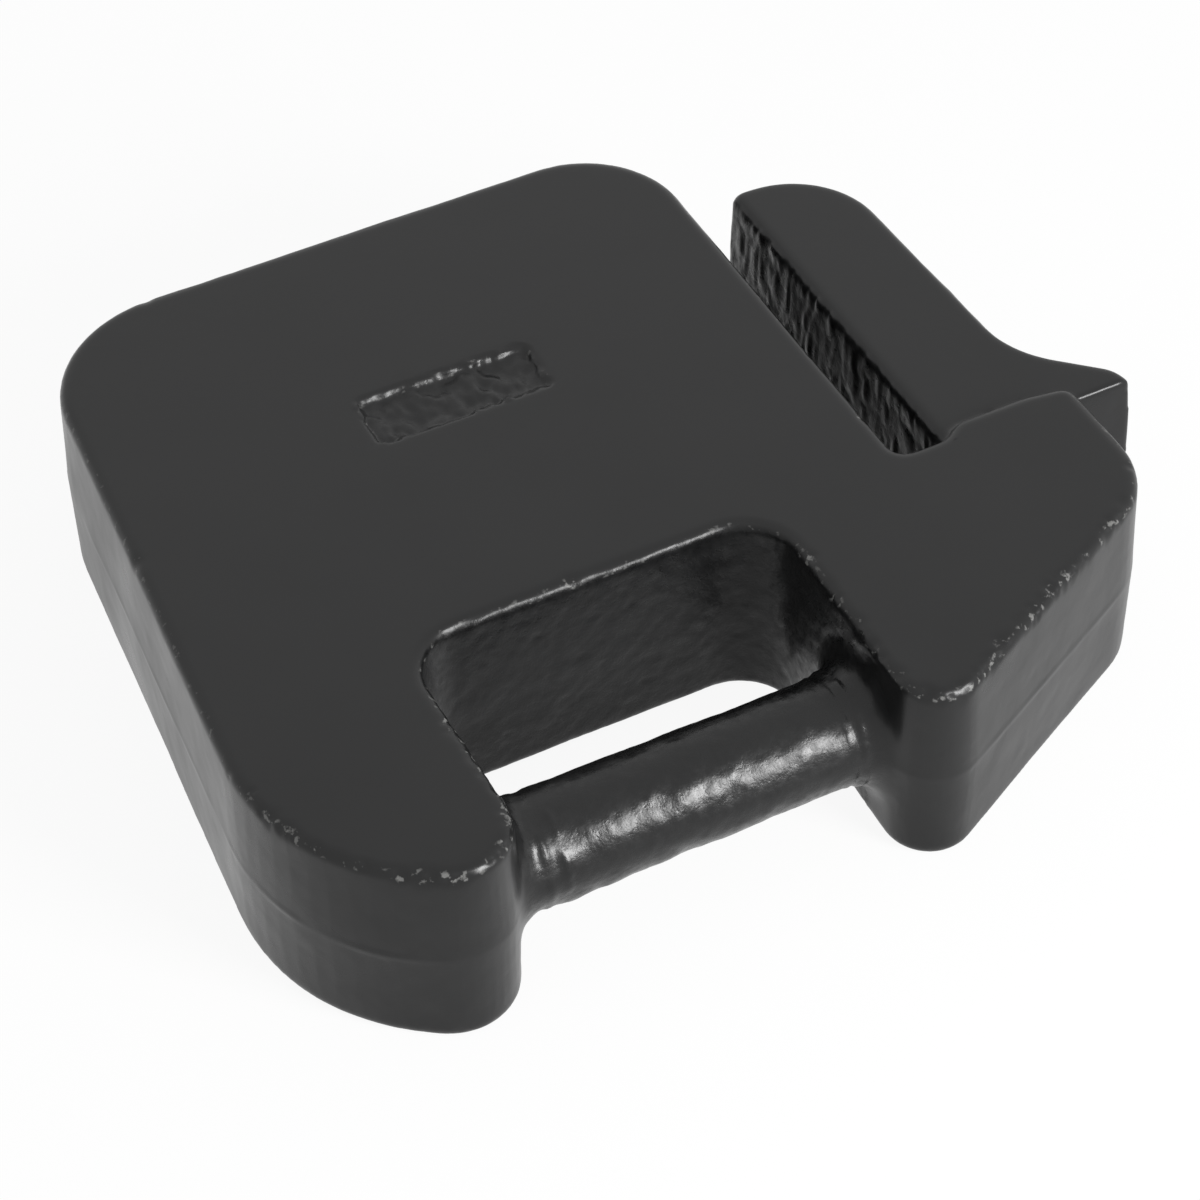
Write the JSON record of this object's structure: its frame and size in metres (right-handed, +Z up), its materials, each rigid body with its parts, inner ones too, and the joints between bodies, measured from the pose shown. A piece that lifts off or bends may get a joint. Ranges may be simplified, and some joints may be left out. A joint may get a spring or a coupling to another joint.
{
  "type": "tractor suitcase weight",
  "caption": "Flat iron suitcase weight lying on its side, with a bar handle in an open hand window and a hook with a narrow hanging slot.",
  "frame": {"origin": "centre of the box's base, on the surface the weight lies on", "axes": "+Z up through the plate's thickness, +X along the handle bar towards the hook, +Y from the handle bar towards the far edge"},
  "size_m": [0.2816, 0.2412, 0.061],
  "materials": {
    "painted_cast_iron": "black paint over cast iron, satin to semi-gloss"
  },
  "bodies": {
    "root": {"weight_casting": "painted_cast_iron"}
  },
  "joints": []
}
